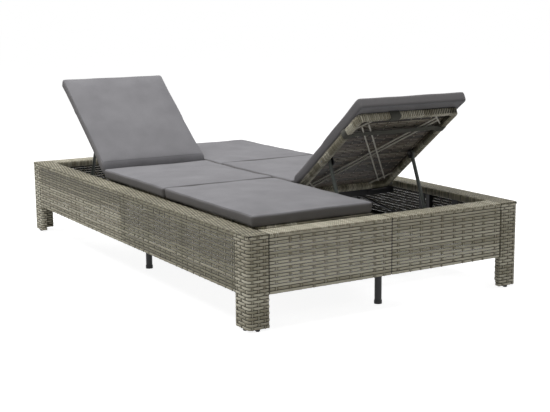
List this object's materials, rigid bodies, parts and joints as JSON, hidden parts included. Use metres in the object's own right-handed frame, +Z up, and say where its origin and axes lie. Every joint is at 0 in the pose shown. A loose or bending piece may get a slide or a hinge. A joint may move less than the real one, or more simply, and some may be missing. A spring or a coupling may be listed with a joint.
{
  "type": "double chaise lounger",
  "caption": "Low woven garden bed for two, on corner columns, with reclining slatted backrests at opposite ends on swing-out props and flat seat, foot and back cushions.",
  "frame": {"origin": "on the floor, under the middle of the bed", "axes": "+X along the bed towards the end where lounger 2 has its backrest, +Y across the bed towards lounger 2, +Z up"},
  "size_m": [2, 1.13, 0.703],
  "materials": {
    "rattan": "woven flat strips, mixed greys",
    "cushion_fabric": "charcoal woven polyester",
    "strap_webbing": "dark woven strap",
    "black_steel": "black powder coat",
    "grey_steel": "grey powder coat",
    "zinc_steel": "zinc plated",
    "foot_plastic": "black moulded plastic"
  },
  "bodies": {
    "bed": {"centre_beam": "black_steel", "corner_glides": "foot_plastic", "cross_rails": "black_steel", "end_frame_1": "black_steel", "end_frame_2": "black_steel", "end_frame_3": "black_steel", "end_frame_4": "black_steel", "end_weave_1": "rattan", "end_weave_2": "rattan", "end_weave_3": "rattan", "end_weave_4": "rattan", "foot_cushion_1": "cushion_fabric", "foot_cushion_2": "cushion_fabric", "foot_panel_frame_1": "black_steel", "foot_panel_frame_2": "black_steel", "foot_panel_weave_1": "rattan", "foot_panel_weave_2": "rattan", "frame_bolts": "zinc_steel", "hinge_cradles_1": "grey_steel", "hinge_cradles_2": "grey_steel", "hinge_pins_1": "zinc_steel", "hinge_pins_2": "zinc_steel", "hinge_rail_1": "black_steel", "hinge_rail_2": "black_steel", "prop_rack_1": "black_steel", "prop_rack_2": "black_steel", "seat_cushion_1": "cushion_fabric", "seat_cushion_2": "cushion_fabric", "seat_panel_frame_1": "black_steel", "seat_panel_frame_2": "black_steel", "seat_panel_weave_1": "rattan", "seat_panel_weave_2": "rattan", "side_frame_1": "black_steel", "side_frame_2": "black_steel", "side_frame_3": "black_steel", "side_frame_4": "black_steel", "side_weave_1": "rattan", "side_weave_2": "rattan", "side_weave_3": "rattan", "side_weave_4": "rattan", "support_leg_caps": "foot_plastic", "support_legs": "black_steel"},
    "backrest_1": {"back_cushion_1": "cushion_fabric", "backrest_cane_1": "rattan", "backrest_frame_1": "black_steel", "backrest_rods_1": "grey_steel", "backrest_wrap_1": "rattan", "cushion_straps_1": "strap_webbing", "prop_brackets_1": "black_steel", "prop_pins_1": "zinc_steel"},
    "backrest_2": {"back_cushion_2": "cushion_fabric", "backrest_cane_2": "rattan", "backrest_frame_2": "black_steel", "backrest_rods_2": "grey_steel", "backrest_wrap_2": "rattan", "cushion_straps_2": "strap_webbing", "prop_brackets_2": "black_steel", "prop_pins_2": "zinc_steel"},
    "prop_1": {"prop_1": "grey_steel"},
    "prop_2": {"prop_2": "grey_steel"}
  },
  "joints": [
    {"name": "backrest_1_recline", "type": "hinge", "parent": "bed", "child": "backrest_1", "pos_m": [-0.346, 0, 0.304], "axis": [0, 1, 0], "range_deg": [-37.2, 7.5]},
    {"name": "prop_1_swing", "type": "hinge", "parent": "backrest_1", "child": "prop_1", "pos_m": [-0.54616, -0.2375, 0.45381], "axis": [0, 1, 0], "range_deg": [-20.2, 100.6]},
    {"name": "backrest_2_recline", "type": "hinge", "parent": "bed", "child": "backrest_2", "pos_m": [0.346, 0, 0.304], "axis": [0, -1, 0], "range_deg": [-37.2, 7.5]},
    {"name": "prop_2_swing", "type": "hinge", "parent": "backrest_2", "child": "prop_2", "pos_m": [0.54616, 0.2375, 0.45381], "axis": [0, -1, 0], "range_deg": [-20.2, 100.6]}
  ],
  "couplings": [
    {"joint": "prop_1_swing", "follows": "backrest_1_recline", "ratio": -2.68},
    {"joint": "prop_2_swing", "follows": "backrest_2_recline", "ratio": -2.68}
  ]
}
